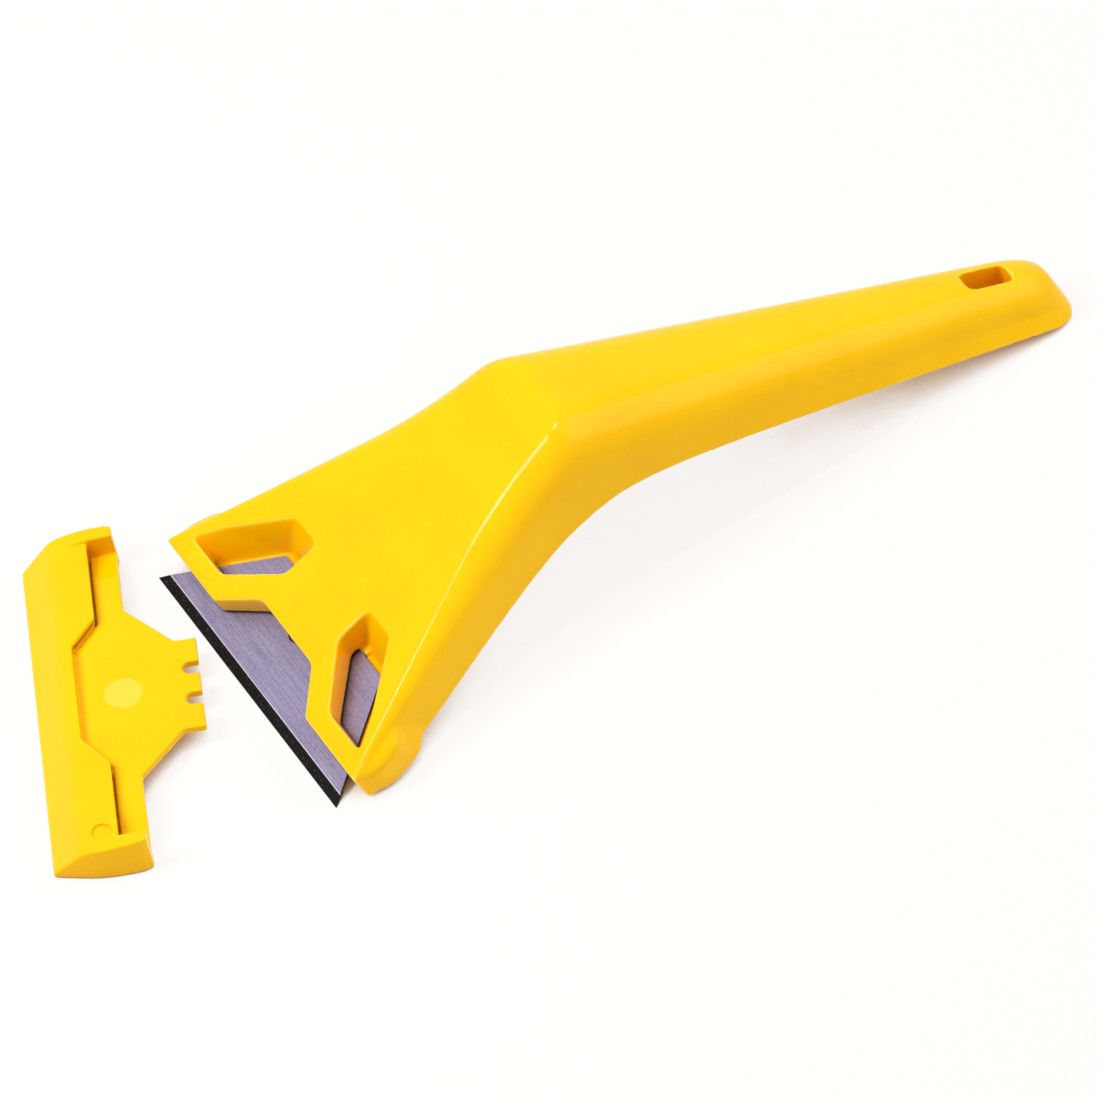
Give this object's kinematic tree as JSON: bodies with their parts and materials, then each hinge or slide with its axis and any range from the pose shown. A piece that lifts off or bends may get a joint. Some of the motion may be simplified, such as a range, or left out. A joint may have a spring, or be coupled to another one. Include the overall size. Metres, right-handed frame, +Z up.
{
  "type": "window scraper",
  "caption": "Hand scraper with a trapezoid steel blade in a windowed head, a drooping hollow handle with a hanging slot, and a push-on blade guard lying beside it",
  "frame": {"origin": "middle of the cutting edge, which lies on the table", "axes": "X along the cutting edge, +Y back along the scraper to the handle's end, +Z up from the table"},
  "size_m": [0.0775, 0.2035, 0.0364],
  "materials": {
    "yellow_plastic": "glossy injection moulding",
    "blade_steel": "cold rolled strip with a ground edge"
  },
  "bodies": {
    "handle": {"handle": "yellow_plastic"},
    "blade": {"blade": "blade_steel"},
    "blade_guard": {"blade_guard": "yellow_plastic"}
  },
  "joints": [
    {"name": "blade_slide", "type": "slide", "parent": "handle", "child": "blade", "axis": [0, -0.9254, -0.3791], "range_m": [0, 0.016]},
    {"name": "guard_draw", "type": "slide", "parent": "handle", "child": "blade_guard", "axis": [-0.3907, -0.9205, 0], "range_m": [0, 0.03]}
  ]
}
